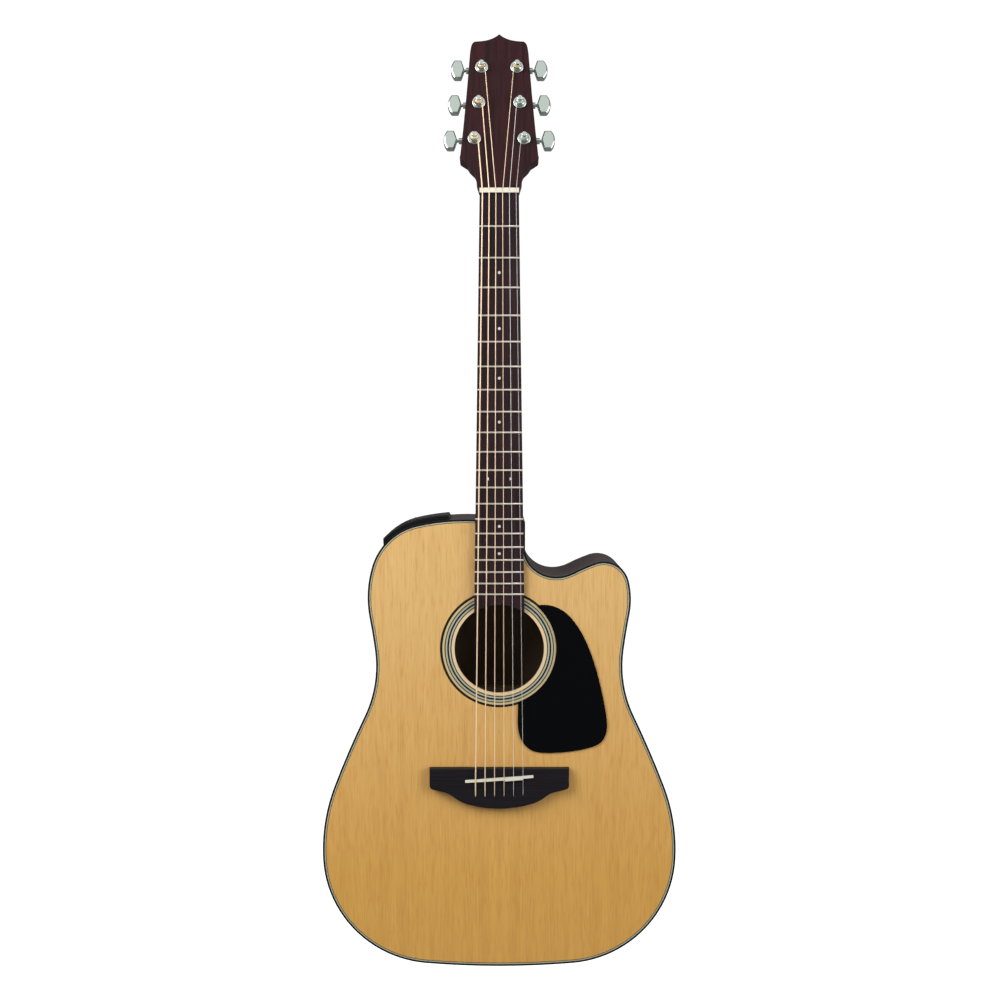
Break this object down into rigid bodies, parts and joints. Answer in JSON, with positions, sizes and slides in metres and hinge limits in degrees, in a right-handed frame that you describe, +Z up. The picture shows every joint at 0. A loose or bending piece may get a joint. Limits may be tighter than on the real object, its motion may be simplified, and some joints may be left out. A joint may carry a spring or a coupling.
{
  "type": "acoustic guitar",
  "caption": "Electro-acoustic dreadnought guitar with a rounded cutaway, glued pinless bridge, turning geared tuners, side preamp with sliders, and an end-pin jack.",
  "frame": {"origin": "mouth of the end-pin output jack, the lowest point, on the guitar's centreline", "axes": "+Z up along the neck, +X to the right as seen from in front of the top, and the top faces -Y"},
  "size_m": [0.4006, 0.1333, 1.0654],
  "materials": {
    "spruce_top": "gloss",
    "mahogany": "gloss",
    "inner_wood": "raw",
    "binding_black": "gloss",
    "purfling_white": "gloss",
    "rosette": "gloss",
    "pickguard": "gloss",
    "rosewood": "satin",
    "bone": "satin",
    "pearl": "gloss",
    "fret_metal": "polished",
    "chrome": "polished",
    "steel": "satin",
    "string_steel": "polished",
    "string_bronze": "polished",
    "gear_brass": "satin",
    "preamp_plastic": "gloss",
    "case_plastic": "matte",
    "battery_skin": "satin",
    "lead_jacket": "matte"
  },
  "bodies": {
    "root": {"top_plate": "spruce_top", "back_plate": "mahogany", "side_bass": "mahogany", "side_treble": "mahogany", "top_binding": "binding_black", "top_purfling": "purfling_white", "back_binding": "binding_black", "rosette": "rosette", "pickguard": "pickguard", "end_blocks": "inner_wood", "linings": "inner_wood", "braces": "inner_wood", "bridge": "rosewood", "saddles": "bone", "neck": "mahogany", "truss_rod": "steel", "fingerboard": "rosewood", "frets": "fret_metal", "position_dots": "pearl", "nut": "bone", "headstock_veneer": "rosewood", "tuner_housings": "chrome", "tuner_screws": "chrome", "tuner_bushings": "chrome", "strap_button": "chrome", "output_jack": "chrome", "preamp_housing": "case_plastic", "preamp_panel": "preamp_plastic", "battery": "battery_skin", "pickup": "lead_jacket", "string_1": "string_steel", "string_2": "string_steel", "string_3": "string_bronze", "string_4": "string_bronze", "string_5": "string_bronze", "string_6": "string_bronze"},
    "tuner_key_1": {"tuner_button_1": "chrome", "worm_shaft_1": "steel"},
    "post_1": {"string_post_1": "chrome"},
    "tuner_key_2": {"tuner_button_2": "chrome", "worm_shaft_2": "steel"},
    "post_2": {"string_post_2": "chrome"},
    "tuner_key_3": {"tuner_button_3": "chrome", "worm_shaft_3": "steel"},
    "post_3": {"string_post_3": "chrome"},
    "tuner_key_4": {"tuner_button_4": "chrome", "worm_shaft_4": "steel"},
    "post_4": {"string_post_4": "chrome"},
    "tuner_key_5": {"tuner_button_5": "chrome", "worm_shaft_5": "steel"},
    "post_5": {"string_post_5": "chrome"},
    "tuner_key_6": {"tuner_button_6": "chrome", "worm_shaft_6": "steel"},
    "post_6": {"string_post_6": "chrome"},
    "volume_slider": {"volume_slider": "preamp_plastic"},
    "check_button": {"check_button": "preamp_plastic"},
    "battery_door": {"battery_door": "preamp_plastic"},
    "eq_slider_1": {"eq_slider_1": "preamp_plastic"},
    "eq_slider_2": {"eq_slider_2": "preamp_plastic"},
    "eq_slider_3": {"eq_slider_3": "preamp_plastic"}
  },
  "joints": [
    {"name": "tuner_key_1_turn", "type": "hinge", "parent": "root", "child": "tuner_key_1", "pos_m": [0.0274, -0.02436, 0.94625], "axis": [1, 0, 0], "continuous": true},
    {"name": "post_1_turn", "type": "hinge", "parent": "root", "child": "post_1", "pos_m": [0.0274, -0.02639, 0.9381], "axis": [0, -0.9703, 0.2419], "continuous": true},
    {"name": "tuner_key_2_turn", "type": "hinge", "parent": "root", "child": "tuner_key_2", "pos_m": [0.0228, -0.01396, 0.98798], "axis": [1, 0, 0], "continuous": true},
    {"name": "post_2_turn", "type": "hinge", "parent": "root", "child": "post_2", "pos_m": [0.0228, -0.01599, 0.97983], "axis": [0, -0.9703, 0.2419], "continuous": true},
    {"name": "tuner_key_3_turn", "type": "hinge", "parent": "root", "child": "tuner_key_3", "pos_m": [0.0197, -0.00368, 1.02921], "axis": [1, 0, 0], "continuous": true},
    {"name": "post_3_turn", "type": "hinge", "parent": "root", "child": "post_3", "pos_m": [0.0197, -0.00571, 1.02106], "axis": [0, -0.9703, 0.2419], "continuous": true},
    {"name": "tuner_key_6_turn", "type": "hinge", "parent": "root", "child": "tuner_key_6", "pos_m": [-0.0274, -0.02436, 0.94625], "axis": [-1, 0, 0], "continuous": true},
    {"name": "post_6_turn", "type": "hinge", "parent": "root", "child": "post_6", "pos_m": [-0.0274, -0.02639, 0.9381], "axis": [0, -0.9703, 0.2419], "continuous": true},
    {"name": "tuner_key_5_turn", "type": "hinge", "parent": "root", "child": "tuner_key_5", "pos_m": [-0.0228, -0.01396, 0.98798], "axis": [-1, 0, 0], "continuous": true},
    {"name": "post_5_turn", "type": "hinge", "parent": "root", "child": "post_5", "pos_m": [-0.0228, -0.01599, 0.97983], "axis": [0, -0.9703, 0.2419], "continuous": true},
    {"name": "tuner_key_4_turn", "type": "hinge", "parent": "root", "child": "tuner_key_4", "pos_m": [-0.0197, -0.00368, 1.02921], "axis": [-1, 0, 0], "continuous": true},
    {"name": "post_4_turn", "type": "hinge", "parent": "root", "child": "post_4", "pos_m": [-0.0197, -0.00571, 1.02106], "axis": [0, -0.9703, 0.2419], "continuous": true},
    {"name": "eq_slider_1_slide", "type": "slide", "parent": "root", "child": "eq_slider_1", "axis": [0, 1, 0], "range_m": [-0.008, 0.008]},
    {"name": "eq_slider_2_slide", "type": "slide", "parent": "root", "child": "eq_slider_2", "axis": [0, 1, 0], "range_m": [-0.008, 0.008]},
    {"name": "eq_slider_3_slide", "type": "slide", "parent": "root", "child": "eq_slider_3", "axis": [0, 1, 0], "range_m": [-0.008, 0.008]},
    {"name": "volume_slider_slide", "type": "slide", "parent": "root", "child": "volume_slider", "axis": [0, 1, 0], "range_m": [-0.008, 0.008]},
    {"name": "check_button_press", "type": "slide", "parent": "root", "child": "check_button", "axis": [0.2621, 0, -0.965], "range_m": [0, 0.001], "stiffness_N_per_m": 200, "springref_m": -0.0005},
    {"name": "battery_door_open", "type": "hinge", "parent": "root", "child": "battery_door", "pos_m": [-0.06043, -0.026, 0.52651], "axis": [0, 1, 0], "range_deg": [0, 90]}
  ],
  "couplings": [
    {"joint": "post_1_turn", "follows": "tuner_key_1_turn", "ratio": 0.071429},
    {"joint": "post_2_turn", "follows": "tuner_key_2_turn", "ratio": 0.071429},
    {"joint": "post_3_turn", "follows": "tuner_key_3_turn", "ratio": 0.071429},
    {"joint": "post_6_turn", "follows": "tuner_key_6_turn", "ratio": -0.071429},
    {"joint": "post_5_turn", "follows": "tuner_key_5_turn", "ratio": -0.071429},
    {"joint": "post_4_turn", "follows": "tuner_key_4_turn", "ratio": -0.071429}
  ]
}
